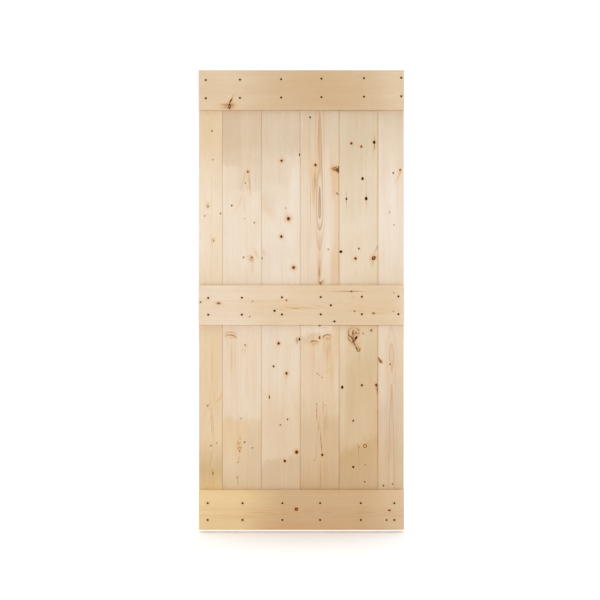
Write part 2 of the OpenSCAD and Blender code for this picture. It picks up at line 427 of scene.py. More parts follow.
    # Sawn ends are darker and rougher, and show the rings whole.
    from_middle = calc(tree, "ABSOLUTE", calc(tree, "SUBTRACT", along, length / 2))
    end = calc(tree, "GREATER_THAN", from_middle, length / 2 - SAWN_DEPTH)
    cut = mix(tree, calc(tree, "MULTIPLY", late, 0.55), SAWN_END, SAWN_LATEWOOD)
    pores = noise(tree, calc_vector(tree, "MULTIPLY", own, (1.6, 1.6, 1.6)), detail=3)
    cut = vary(tree, cut, pores, (0.12, 0.16, 0.2))
    wood = mix(tree, end, wood, cut)
    feed(tree, shader.inputs["Base Color"], wood)

    rough = calc(tree, "MULTIPLY_ADD", fibres, 0.16, 0.52)
    rough = calc(tree, "MULTIPLY_ADD", inside, -0.12, rough)
    rough = calc(tree, "MULTIPLY_ADD", end, 0.2, rough)
    feed(tree, shader.inputs["Roughness"], rough)
    shader.inputs["Specular IOR Level"].default_value = 0.12

    # Fibres stand up, early wood is sanded lower than late wood, and knots are a little sunk.
    relief = calc(tree, "MULTIPLY", fibres, 0.5)
    relief = calc(tree, "MULTIPLY_ADD", late, 0.28, relief)
    relief = calc(tree, "MULTIPLY_ADD", inside, -0.8, relief)
    relief = calc(tree, "MULTIPLY_ADD", calc(tree, "MULTIPLY", end, pores), 1.4, relief)
    emboss(tree, shader, relief, 0.5, 0.2 * MM)
    return material


def put_in_scene(name, data):
    thing = bpy.data.objects.new(name, data)
    bpy.context.scene.collection.objects.link(thing)
    return thing


def finished_board(node, material):
    """A copy of the machined board with its loose triangles joined, halved at mid length so that
    its surface lays out square, and unwrapped face by face."""
    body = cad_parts[node].data.copy()
    shape = bmesh.new()
    shape.from_mesh(body)
    bmesh.ops.remove_doubles(shape, verts=shape.verts, dist=0.001 * MM)
    low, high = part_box(node)
    size = high - low
    lengthwise = Vector((0, 0, 1)) if size.z > size.x else Vector((1, 0, 0))
    cut = bmesh.ops.bisect_plane(shape, geom=shape.verts[:] + shape.edges[:] + shape.faces[:],
                                 plane_co=(low + high) / 2, plane_no=lengthwise, dist=0.0001 * MM)
    halving = {e for e in cut["geom_cut"] if isinstance(e, bmesh.types.BMEdge)}
    for edge in shape.edges:
        angle = edge.calc_face_angle(math.pi)
        edge.seam = edge in halving or angle > math.radians(50)
        edge.smooth = angle < math.radians(30)
    for face in shape.faces:
        face.smooth = True
    shape.to_mesh(body)
    shape.free()
    for layer in list(body.uv_layers):
        body.uv_layers.remove(layer)
    body.uv_layers.new(name="OFBake")
    board = put_in_scene(node + "_board", body)
    bpy.ops.object.select_all(action="DESELECT")
    bpy.context.view_layer.objects.active = board
    board.select_set(True)
    bpy.ops.object.mode_set(mode="EDIT")
    bpy.ops.mesh.select_all(action="SELECT")
    bpy.ops.uv.unwrap(method="CONFORMAL", margin=0.001)
    bpy.ops.uv.pack_islands(rotate=True, scale=True, margin=0.003)
    bpy.ops.object.mode_set(mode="OBJECT")
    body.materials.clear()
    body.materials.append(material)
    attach(board, "root")
    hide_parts(node)
    return board


# Each board's log, in millimetres and degrees. The pith is (along, depth behind the front) and
# wanders by sway. Figure is (along, strength) of the rings, faintest the weakest year's share,
# and reach how far from the pith they show. Cast tints the board, and one more value sets how dark
# the painted shade under its rails is. Tone is (share of the length, colour), and slant how its
# borders rise to the right. Zones are (left, right, foot, head, softness at the sides, softness
# at the ends, colour, strength). Tone and zones are partly the wood's own colour and partly
# painted light.
# Knots are (across, along, radius, kind) and may add their length against their width and how
# far they lean right. Stains are (across, along, half width, half length, strength) and may add
# their lean and 1 for a hollow arch.
PLANK_LOGS = {
    "left_plank": {
        "seed": 1.0, "pith_across": -16, "pith": [(0.0, 48), (1100, 60), (2134, 45)], "sway": 14,
        "ring_width": 4.2, "figure": [(0, 0.12)], "faintest": 0.1, "reach": 300, "slant": 0.0, "rail_shade_strength": 0.2,
        "cast": (1.03, 1.02, 0.965),
        "tone": [(0.05, STRAW), (0.13, shade(211, 181, 138)), (0.2, SAND), (0.45, SAND),
                 (0.56, CREAM), (0.63, PALE), (0.69, PALE), (0.76, CREAM), (0.85, SAND)],
        "zones": [(-54, 8, 1240, 1700, 8, 120, PALE, 0.4), (4, 60, 1100, 1500, 6, 90, SAND, 0.1)],
        "knots": [(6, 1853, 3.3, "dead"), (10, 1720, 2.9, "pin"), (-13, 1501, 3.6, "live"),
                  (-29, 1458, 2.6, "pin"), (46, 1469, 3.2, "dead"), (14, 1341, 2.8, "live"),
                  (-14, 575, 4.4, "pin", 0.6, 40), (1, 389, 3.4, "pin"), (28, 402, 2.4, "pin")],
        "stains": [(4, 1560, 1.6, 130, 0.35), (1, 1240, 1.6, 120, 0.35), (-13, 1508, 8, 12, 0.5),
                   (12, 1348, 9, 9, 0.5), (-22, 1462, 9, 3, 0.3, -30), (5, 1330, 2, 60, 0.35, -4),
                   (48, 622, 3, 34, 0.3, 20), (40, 604, 4, 22, 0.3, 44), (30, 600, 2, 40, 0.3, 30),
                   (10, 700, 7, 200, 0.1), (4, 500, 1.9, 90, 0.62, -3), (12, 480, 1.6, 70, 0.6, -4),
                   (2, 330, 2.6, 50, 0.6, 6), (8, 268, 3.4, 26, 0.6, -10), (12, 262, 2.4, 16, 0.6, 30),
                   (-4, 240, 2.0, 50, 0.45), (12, 220, 2.0, 40, 0.45), (6, 760, 2.2, 110, 0.4),
                   (-2, 640, 1.4, 60, 0.35, 5), (-8, 582, 1.5, 14, 0.5, 40), (-4, 560, 1.4, 12, 0.4, -50)]},
    "second_plank": {
        "seed": 2.0, "pith_across": 20, "pith": [(0.0, 40), (1000, 55), (2134, 50)], "sway": 14,
        "ring_width": 5.0, "figure": [(0, 0.1)], "faintest": 0.1, "reach": 300, "slant": 0.0, "rail_shade_strength": 0.25,
        "cast": (1.0, 0.99, 0.965),
        "tone": [(0.06, TAN), (0.14, SAND), (0.235, SAND), (0.25, CREAM), (0.5, CREAM),
                 (0.6, PALE), (0.72, PALE), (0.79, CREAM), (0.84, FAWN)],
        "zones": [(-100, -8, 1690, 2200, 7, 6, shade(208, 182, 147), 0.26),
                  (22, 100, 180, 470, 8, 30, TAN, 0.4), (-60, 100, 1575, 1740, 20, 8, FAWN, 0.4),
                  (-100, -20, 1480, 1690, 16, 20, PALE, 0.6), (-100, 12, 340, 500, 12, 40, STRAW, 0.3),
                  (-30, 30, 1500, 1560, 12, 20, CREAM, 0.4)],
        "knots": [(28, 1664, 5.2, "live"), (16, 1611, 2.8, "live"), (-47, 1507, 3.8, "dead"),
                  (58, 1427, 3.2, "dead"), (13, 1446, 2.3, "pin"), (8, 1266, 3.8, "live"),
                  (46, 1266, 5.0, "live", 0.8, 30), (15, 857, 3.6, "live"), (3, 834, 1.8, "pin"),
                  (-3, 515, 2.4, "pin"), (13, 405, 3.6, "dead"), (-9, 382, 2.6, "pin"),
                  (50, 379, 2.8, "pin"), (-17, 311, 2.0, "pin")],
        "stains": [(35, 1614, 5, 52, 0.5, -5), (10, 1630, 2.6, 44, 0.45, 16),
                   (22, 1596, 2.2, 40, 0.35, -10), (-2, 1540, 2, 30, 0.3, 24),
                   (-20, 1500, 1.5, 26, 0.3, 34), (12, 1500, 1.5, 34, 0.3, -12), (44, 1258, 13, 14, 0.55),
                   (50, 1226, 5, 36, 0.3), (66, 1284, 24, 7, 0.35, 66), (30, 1272, 2, 14, 0.4, 60),
                   (-51, 888, 27, 16, 0.85, 8, 1), (-54, 898, 30, 19, 0.55, 0, 1), (-50, 892, 22, 7, 0.3),
                   (-66, 866, 2, 30, 0.3, -8), (-47, 800, 4, 90, 0.4), (-33, 790, 3, 110, 0.35),
                   (-46, 660, 2, 120, 0.2), (18, 838, 3, 22, 0.35, 24), (2, 800, 1.4, 60, 0.25),
                   (-4, 750, 1.4, 20, 0.2, 60), (-12, 388, 10, 20, 0.3), (-17, 376, 2.6, 12, 0.7, -30),
                   (-4, 376, 2.5, 12, 0.65, 30), (-12, 400, 2.4, 9, 0.65, 60),
                   (-10, 362, 2.4, 7, 0.65, -50), (-8, 424, 2.1, 16, 0.62, -20),
                   (-18, 408, 2.3, 14, 0.65, 20), (-14, 330, 2.0, 24, 0.6, 6), (-19, 310, 2.1, 9, 0.6, 50),
                   (-22, 240, 2.6, 9, 0.65, -40), (-18, 246, 2.1, 8, 0.6, 36),
                   (-19, 218, 2.3, 20, 0.6, -8), (-15, 1060, 1.4, 80, 0.2), (30, 470, 6, 2, 0.35),
                   (14, 472, 1.6, 9, 0.3, 70)]},
    "third_plank": {
        "seed": 3.0, "pith_across": 60, "pith": [(0.0, 60), (1100, 42), (2134, 64)], "sway": 16,
        "ring_width": 4.6, "figure": [(0, 0.08)], "faintest": 0.1, "reach": 300, "slant": 0.14, "rail_shade_strength": 0.25,
        "cast": (0.995, 1.0, 1.0),
        "tone": [(0.06, TAN), (0.15, TAN), (0.157, SAND), (0.24, SAND), (0.33, CREAM),
                 (0.5, CREAM), (0.6, PALE), (0.7, PALE), (0.78, CREAM), (0.84, FAWN)],
        "zones": [(-100, -20, 1470, 1570, 14, 30, TAN, 0.3), (-100, 100, 1240, 1330, 30, 60, FAWN, 0.2),
                  (30, 100, 1500, 1720, 20, 40, PALE, 0.5), (-100, 40, 1590, 1690, 20, 40, FAWN, 0.3)],
        "knots": [(89, 1743, 4.6, "dead"), (4, 1715, 6.3, "live"), (36, 1445, 8.8, "live"),
                  (3, 1362, 5.7, "dead"), (60, 1218, 7.5, "live"), (-87, 1262, 2.6, "pin", 2.0, 0),
                  (-10, 865, 7.2, "live"), (88, 884, 5.6, "dead"), (-33, 758, 4.6, "dead"),
                  (27, 726, 6.8, "live"), (-53, 615, 3.4, "dead", 2.2, 0), (32, 512, 3.8, "dead"),
                  (-2, 486, 3.4, "pin"), (74, 359, 9.4, "live"), (19, 318, 6.2, "dead"),
                  (24, 1495, 2.3, "pin")],
        "stains": [(36, 1447, 22, 22, 0.28), (3, 1362, 11, 14, 0.5), (60, 1218, 15, 15, 0.4),
                   (-53, 618, 2.4, 24, 0.6), (27, 722, 12, 14, 0.4), (-60, 1486, 15, 84, 0.11, -34),
                   (74, 362, 15, 15, 0.35), (6, 1130, 1.6, 100, 0.25), (80, 884, 12, 14, 0.5),
                   (74, 872, 7, 16, 0.4), (26, 690, 3, 34, 0.3, 4), (20, 702, 2, 14, 0.3, 40),
                   (-80, 1290, 20, 7, 0.28, 60), (4, 1716, 11, 12, 0.35), (26, 1482, 1.6, 26, 0.35, -12),
                   (8, 1550, 1.5, 90, 0.2), (-82, 1240, 1.6, 60, 0.25), (19, 318, 10, 11, 0.4)]},
    "fourth_plank": {
        "seed": 4.0, "pith_across": 0,
        "pith": [(0.0, 24), (950, 32), (1199, 36.2), (1296, 27), (1390, 17.8), (1440, 9),
                 (1485, 5.3), (1652, 11), (1936, 17.8), (2134, 22)],
        "sway": 5, "ring_width": 9.2, "faintest": 0.9, "reach": 23, "slant": 0.0,
        "figure": [(0, 0.3), (980, 0.3), (1150, 1.6), (1360, 1.5), (1460, 0.95), (2000, 0.95)],
        "cast": (1.0, 1.0, 1.0), "rail_shade_strength": 0.35,
        "tone": [(0.08, HONEY), (0.16, TAN), (0.22, TAN), (0.3, SAND), (0.44, SAND),
                 (0.6, CREAM), (0.735, CREAM), (0.78, SAND), (0.88, FAWN)],
        "zones": [(14, 46, 1240, 1760, 5, 90, PALE, 0.7), (-100, -46, 1120, 1660, 8, 120, CREAM, 0.7),
                  (12, 100, 150, 520, 8, 30, HONEY, 0.35), (-44, -8, 1500, 1700, 6, 60, TAN, 0.18),
                  (-100, -78, 1740, 1960, 5, 60, CREAM, 0.4), (-78, -40, 1740, 1960, 6, 60, TAN, 0.4),
                  (-100, -14, 857, 903, 12, 10, TAN, 0.45), (-100, 60, 908, 1000, 16, 12, PALE, 0.7),
                  (56, 90, 1560, 1684, 4, 60, APRICOT, 0.8), (69, 91, 1240, 1620, 3, 90, APRICOT, 0.45),
                  (56, 91, 1130, 1300, 4, 90, APRICOT, 0.7)],
        "knots": [(-44, 1917, 4.4, "dead"), (-19, 1695, 6.8, "live"), (91, 1685, 4.8, "dead", 1.4, 0),
                  (82, 1562, 2.8, "dead", 2.0, -45), (40, 1303, 3.0, "live"), (5, 1147, 3.0, "live"),
                  (0, 953, 7.2, "dead"), (0, 892, 4.4, "live", 2.0, 0), (-10, 725, 2.4, "pin"),
                  (11, 706, 2.0, "pin"), (13, 346, 5.8, "dead"), (-26, 320, 2.3, "pin")],
        "stains": [(-1, 1840, 7, 110, 0.4), (0, 1340, 10, 60, 0.3), (0, 1240, 9, 50, 0.35),
                   (-21, 1625, 8, 66, 0.55), (-34, 1610, 3, 60, 0.35), (-28, 1540, 5, 60, 0.25),
                   (73, 1674, 20, 12, 0.82), (86, 1668, 8, 16, 0.6), (70, 1684, 1.8, 18, 0.8, 67),
                   (60, 1690, 3, 20, 0.25, 62), (88, 1600, 2, 80, 0.5), (88, 1260, 2, 200, 0.4),
                   (54, 1200, 2, 110, 0.35), (-42, 1540, 1.6, 200, 0.5), (-48, 1800, 1.8, 140, 0.35),
                   (-52, 1250, 1.6, 160, 0.35), (-2, 1185, 7, 40, 0.6), (2, 1144, 3, 12, 0.7, -36),
                   (14, 1154, 4, 10, 0.7, 34), (9, 1146, 9, 6, 0.35), (78, 1566, 3, 20, 0.5, -45),
                   (-56, 1566, 3, 18, 0.25, -30), (-25, 862, 20, 15, 0.85, 0, 1), (-25, 868, 17, 7, 0.35),
                   (-25, 860, 15, 5, 0.3), (-27, 790, 4, 60, 0.3), (-36, 800, 2, 70, 0.2),
                   (35, 888, 22, 17, 0.85, -14, 1), (36, 889, 19, 9, 0.38), (21, 850, 2.4, 46, 0.5),
                   (50, 860, 6, 40, 0.25), (40, 830, 13, 60, 0.35), (54, 720, 9, 90, 0.3),
                   (34, 770, 2, 120, 0.3), (62, 720, 1.6, 120, 0.3), (76, 880, 4, 60, 0.2),
                   (0, 716, 1.4, 18, 0.9, -52), (38, 735, 1.8, 10, 0.4, 30), (46, 742, 1.6, 8, 0.4, -20),
                   (28, 728, 1.5, 10, 0.35, 70), (-13, 540, 2.0, 50, 0.95), (-15, 582, 5, 2, 0.85),
                   (16, 566, 2.0, 34, 0.75), (26, 578, 6, 2, 0.6, 20), (-6, 470, 1.9, 60, 0.72, 5),
                   (4, 440, 1.7, 70, 0.66, -4), (8, 390, 1.8, 40, 0.62, -4), (-16, 360, 2.0, 70, 0.55),
                   (32, 520, 2.0, 60, 0.6), (24, 480, 2.0, 90, 0.6), (4, 240, 2.4, 110, 0.65),
                   (26, 260, 2.0, 110, 0.5), (-3, 150, 2.4, 60, 0.45), (13, 344, 9, 12, 0.4),
                   (-26, 318, 1.8, 14, 0.35, 30)]},
    "fifth_plank": {
        "seed": 5.0, "pith_across": 14, "pith": [(0.0, 40), (1000, 34), (1450, 52), (2134, 50)],
        "sway": 22, "ring_width": 6.4, "figure": [(0, 0.1)], "faintest": 0.1, "reach": 300, "slant": 0.5,
        "cast": (0.985, 1.0, 0.97), "rail_shade_strength": 0.4,
        "tone": [(0.06, shade(212, 180, 144)), (0.175, HONEY), (0.195, TAN), (0.36, TAN),
                 (0.44, SAND), (0.5, SAND), (0.57, CREAM), (0.76, CREAM), (0.84, FAWN)],
        "zones": [(-100, -55, 480, 1900, 12, 100, CREAM, 0.3), (-60, 100, 0, 190, 12, 60, HONEY, 0.4),
                  (-92, 92, 1370, 1460, 30, 40, PALE, 0.35), (-60, 60, 560, 760, 30, 80, HONEY, 0.15),
                  (-70, 60, 1500, 1800, 30, 90, FAWN, 0.35)],
        "knots": [(-33, 1796, 6.4, "live"), (73, 1801, 7.0, "dead"), (13, 1781, 6.0, "live"),
                  (19, 1632, 6.3, "dead"), (-56, 1538, 4.9, "dead"), (36, 1539, 7.3, "dead"),
                  (-82, 1292, 7.8, "dead", 0.9, 0), (2, 1306, 4.0, "dead"), (-14, 1260, 6.7, "live"),
                  (71, 1262, 8.5, "ring", 1.35, 45), (-24, 924, 3.0, "live"), (-6, 911, 3.0, "live"),
                  (-27, 889, 3.2, "live"), (22, 911, 3.0, "live"), (59, 925, 4.8, "live"),
                  (-11, 891, 5.2, "dead", 2.2, 32), (-76, 661, 6.6, "dead"), (16, 670, 5.4, "dead"),
                  (83, 671, 7.0, "live"), (-25, 505, 4.4, "dead"), (-25, 290, 5.5, "dead", 1.2, -30),
                  (29, 221, 3.7, "dead"), (31, 300, 2.6, "pin")],
        "stains": [(74, 1798, 2.6, 42, 0.9), (-56, 1538, 2.2, 44, 0.7), (70, 1770, 2, 16, 0.5, 20),
                   (36, 1600, 2.4, 90, 0.4), (36, 1520, 3, 36, 0.4), (80, 1300, 5, 34, 0.45, 28),
                   (66, 1240, 7, 20, 0.4), (68, 1262, 14, 12, 0.35), (86, 1560, 3, 520, 0.3),
                   (88, 560, 2.6, 420, 0.5), (-22, 903, 25, 35, 0.48), (-47, 910, 3.4, 20, 0.65, -6),
                   (-42, 880, 3.4, 18, 0.65, -36), (-38, 932, 3, 16, 0.5, 44), (-4, 932, 3, 14, 0.55, -60),
                   (2, 914, 3, 16, 0.65, 4), (-12, 916, 2.6, 12, 0.65, 40), (-26, 916, 3.2, 11, 0.9, 6),
                   (-36, 896, 3.2, 12, 0.65, -50), (-20, 876, 4, 12, 0.6, 50), (-26, 886, 8, 10, 0.6),
                   (-17, 858, 4, 20, 0.7, -24), (-5, 860, 3, 16, 0.55, -24), (-1, 839, 9, 11, 0.6),
                   (-9, 842, 2.8, 10, 0.7, -10), (7, 837, 2.8, 9, 0.7, 20), (-1, 829, 8, 2.8, 0.7),
                   (-30, 858, 16, 14, 0.25), (85, 655, 8, 26, 0.5), (74, 480, 13, 150, 0.25),
                   (30, 388, 7.2, 7.2, 1.2, 0, 1), (30, 388, 7.2, 7.2, 1.2, 180, 1),
                   (30, 388, 7.2, 7.2, 1.2, 90, 1), (30, 388, 7.2, 7.2, 1.2, -90, 1),
                   (30, 388, 10, 11, 0.35), (0, 350, 2.2, 60, 0.6), (5, 300, 2, 44, 0.5),
                   (-5, 392, 2.4, 10, 0.6, -40), (5, 386, 2.2, 12, 0.6, 30), (14, 1700, 1.4, 90, 0.35),
                   (-12, 1190, 8, 20, 0.12), (25, 560, 2, 50, 0.25), (16, 600, 1.8, 50, 0.3),
                   (-28, 1786, 6, 6, 0.3), (28, 250, 2, 40, 0.3, 6), (34, 318, 1.6, 12, 0.4, 40),
                   (-32, 300, 2, 12, 0.5, -30)]},
    "right_plank": {
        "seed": 6.0, "pith_across": 3,
        "pith": [(0.0, 7), (232, 9.5), (500, 14), (674, 18.7), (705, 20.5), (736, 18.7), (798, 13.9),
                 (859, 18.7), (950, 30), (1100, 40), (2134, 50)],
        "sway": 4, "ring_width": 9.7, "figure": [(0, 0.6), (700, 0.75), (860, 0.75), (1100, 0.1)],
        "faintest": 0.8, "reach": 24, "slant": 0.0,
        "cast": (0.99, 0.995, 1.0), "rail_shade_strength": 0.25,
        "tone": [(0.04, TAN), (0.16, TAN), (0.27, FAWN), (0.36, SAND), (0.46, CREAM),
                 (0.56, CREAM), (0.64, PALE), (0.74, PALE), (0.82, CREAM), (0.92, FAWN)],
        "zones": [(-80, -12, 600, 960, 12, 60, CREAM, 0.5)],
        "knots": [(11, 1658, 3.5, "dead"), (43, 1672, 4.6, "live", 1.2, 30), (-5, 1476, 2.9, "pin"),
                  (14, 1416, 2.5, "pin"), (-4, 768, 3.4, "dead"), (-35, 203, 5.2, "pin", 0.8, 40),
                  (8, 210, 3.4, "pin")],
        "stains": [(-49, 784, 7, 14, 0.95, -50), (-58, 797, 3, 9, 0.9, -50), (-46, 776, 7, 6, 0.4),
                   (34, 1640, 3, 34, 0.45, 30), (42, 1664, 6, 12, 0.4, 10), (32, 1560, 2, 80, 0.3),
                   (2, 750, 1.4, 30, 0.5, 18), (-26, 780, 1.4, 24, 0.35, -40), (-58, 1600, 2, 420, 0.22),
                   (4, 620, 3, 60, 0.4), (-6, 600, 2, 12, 0.35, 50), (1, 380, 2, 60, 0.5),
                   (8, 400, 1.4, 20, 0.35, -20), (40, 640, 8, 1.6, 0.35), (40, 700, 8, 1.6, 0.25)]},
}


for name, log in PLANK_LOGS.items():
    low, high = (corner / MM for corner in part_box(name))
    # A plank's middle leaves out its tongue, which every plank but the last has on its right.
    tongue = 0 if name == "right_plank" else TONGUE
    middle = (low.x + high.x - tongue) / 2
    wood = softwood(name + "_wood", middle, low.y, high.z - low.z, lying=False, log=log)
    finished_board(name, wood)


# ---------------------------------------------------------------- Rails
# Three boards of the same bare softwood lie across the planks, as long as the slab is wide.
# Their long edges are eased, and each has twelve countersunk screw holes.
RAIL_LOGS = {
    "top_rail": {
        "seed": 7.0, "pith_across": 40, "pith": [(0.0, 60), (500, 66), (953, 60)], "sway": 12,
        "ring_width": 6.5, "figure": [(0, 0.04)], "faintest": 0.1, "reach": 300, "slant": 0.0,
        "cast": (0.97, 0.965, 0.945),
        "tone": [(0.0, SAND), (0.15, SAND), (0.36, TAN), (0.8, TAN), (0.97, SAND)],
        "zones": [(-100, 100, 400, 780, 30, 170, HONEY, 0.5)],
        "knots": [(76, 143, 6.4, "ring", 2.2, -84), (50, 149, 3.8, "live", 4.6, -62)],
        "stains": [(74, 134, 11, 36, 0.6), (66, 150, 16, 20, 0.45), (28, 160, 3, 9, 0.5, -50),
                   (84, 116, 2.4, 30, 0.45), (66, 112, 2, 26, 0.4), (88, 160, 4, 18, 0.3)]},
    "mid_rail": {
        "seed": 8.0, "pith_across": 10, "pith": [(0.0, 50), (500, 40), (953, 54)], "sway": 16,
        "ring_width": 6.2, "figure": [(0, 0.08)], "faintest": 0.1, "reach": 300, "slant": 0.0,
        "cast": (1.0, 0.985, 0.95),
        "tone": [(0.0, CREAM), (0.16, CREAM), (0.3, SAND), (0.7, SAND), (0.95, SAND), (1.0, CREAM)],
        "zones": [(-100, -30, 0, 420, 14, 60, PALE, 0.4), (50, 100, 0, 300, 12, 60, PALE, 0.4),
                  (-80, 80, 560, 900, 30, 60, TAN, 0.3)],
        "knots": [(-64, 709, 3.8, "dead"), (-14, 9, 4.2, "live"), (-18, 250, 3.0, "live"),
                  (-23, 407, 4.0, "live"), (26, 352, 5.4, "dead"), (0, 613, 5.2, "dead"),
                  (27, 723, 3.2, "dead"), (-57, 907, 2.8, "pin"), (29, 904, 2.8, "pin"),
                  (54, 237, 3.0, "live"), (75, 630, 4.8, "dead")],
        "stains": [(-64, 700, 3, 84, 0.75), (22, 385, 2.2, 44, 0.5, 14), (14, 440, 2.0, 44, 0.42, 6),
                   (12, 505, 2.0, 44, 0.42, 4), (4, 560, 2.0, 34, 0.45, 14), (12, 460, 9, 110, 0.14, 6),
                   (18, 430, 1.6, 40, 0.4, -6), (27, 726, 2.2, 56, 0.55), (5, 735, 2.0, 40, 0.35),
                   (-38, 720, 2.4, 10, 0.5), (-19, 270, 1.6, 170, 0.35), (-9, 92, 5, 9, 0.75),
                   (-9, 94, 10, 22, 0.35), (38, 811, 6, 9, 0.95), (38, 840, 5, 30, 0.25),
                   (8, 300, 8, 200, 0.1)]},
    "bottom_rail": {
        "seed": 9.0, "pith_across": 12,
        "pith": [(0.0, 19), (300, 17.5), (500, 17), (640, 18), (787, 22.5), (953, 25)], "sway": 6,
        "ring_width": 5.9, "figure": [(0, 0.55)], "faintest": 0.5, "reach": 34, "slant": 0.0,
        "cast": (1.05, 1.05, 1.06),
        "tone": [(0.0, STRAW), (0.2, STRAW), (0.42, HONEY), (0.62, HONEY), (0.8, HONEY), (1.0, TAN)],
        "zones": [(50, 100, 260, 760, 10, 60, shade(216, 172, 128), 0.45)],
        "knots": [(-4, 453, 9.0, "ring", 1.0, 0), (1, 885, 4.8, "live", 1.5, 0), (46, 872, 4.4, "dead")],
        "stains": [(-4, 453, 14, 16, 0.5), (14, 300, 1.6, 190, 0.4), (20, 400, 1.8, 90, 0.5),
                   (24, 300, 2.0, 60, 0.4, -4), (2, 330, 1.6, 80, 0.35, 2), (30, 200, 1.8, 70, 0.3, 3),
                   (4, 930, 1.4, 60, 0.3)]},
}

# Where a screw is driven, its head crushes and darkens the wood round its rim. The same dark ring
# also covers the countersink round the head, and there it is painted shade.
DARK_RIM_RADIUS = 5.3


def solids_of(node):
    """The middle of each separate solid of a CAD node, found by walking its joined triangles,
    row by row from the lowest and from left to right."""
    shape = bmesh.new()
    shape.from_mesh(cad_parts[node].data)
    bmesh.ops.remove_doubles(shape, verts=shape.verts, dist=0.001 * MM)
    left, middles = set(shape.verts), []
    while left:
        todo = [left.pop()]
        solid = []
        while todo:
            vert = todo.pop()
            solid.append(vert.co.copy())
            near = {edge.other_vert(vert) for edge in vert.link_edges} & left
            left -= near
            todo += near
        low = Vector(min(co[axis] for co in solid) for axis in range(3))
        high = Vector(max(co[axis] for co in solid) for axis in range(3))
        middles.append((low + high) / 2)
    shape.free()
    return sorted(middles, key=lambda middle: (round(middle.z, 4), middle.x))


for name, log in RAIL_LOGS.items():
    low, high = (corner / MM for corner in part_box(name))
    middle = (low.z + high.z) / 2
    for centre in solids_of(name + "_screws"):
        log["knots"].append((middle - centre.z / MM, centre.x / MM - low.x, DARK_RIM_RADIUS, "bored"))
    wood = softwood(name + "_wood", middle, low.y, high.x - low.x, lying=True, log=log)
    finished_board(name, wood)


# ---------------------------------------------------------------- Screws
# Thirty-six steel wood screws with a dark phosphate coat, driven through the rails from the
# front. A cross recess is pressed into each flat head, and the thread is rolled on the shank.
SCREW_LENGTH = 30 * MM
HEAD_RADIUS = 4.2 * MM
HEAD_RIM = 0.3 * MM
HEAD_EDGE = 0.1 * MM
CORE_RADIUS = 1.45 * MM
CREST_RADIUS = 2.08 * MM
POINT_START = SCREW_LENGTH - 6 * MM
POINT_RADIUS = 0.05 * MM
THREAD_START = 9 * MM
THREAD_END = SCREW_LENGTH - 0.8 * MM
THREAD_PITCH = 1.9 * MM
THREAD_RUN_IN = 1.5 * MM
THREAD_ROOT = 0.9 * CORE_RADIUS
POINT_TAPER = 0.93
RIB_HALF_WIDTH = 0.55 * MM
STEPS_A_TURN = 18
RECESS_REACH = 2.5 * MM
RECESS_HALF_WIDTH = 0.55 * MM
RECESS_DEPTH = 1.8 * MM
SIDES = 24


def ring_of(shape, radius, depth):
    """A circle of edges round the screw's axis, which is +Z into the wood."""
    made = bmesh.ops.create_circle(shape, segments=SIDES, radius=radius,
                                   matrix=Matrix.Translation((0, 0, depth)))
    return list({edge for vert in made["verts"] for edge in vert.link_edges})


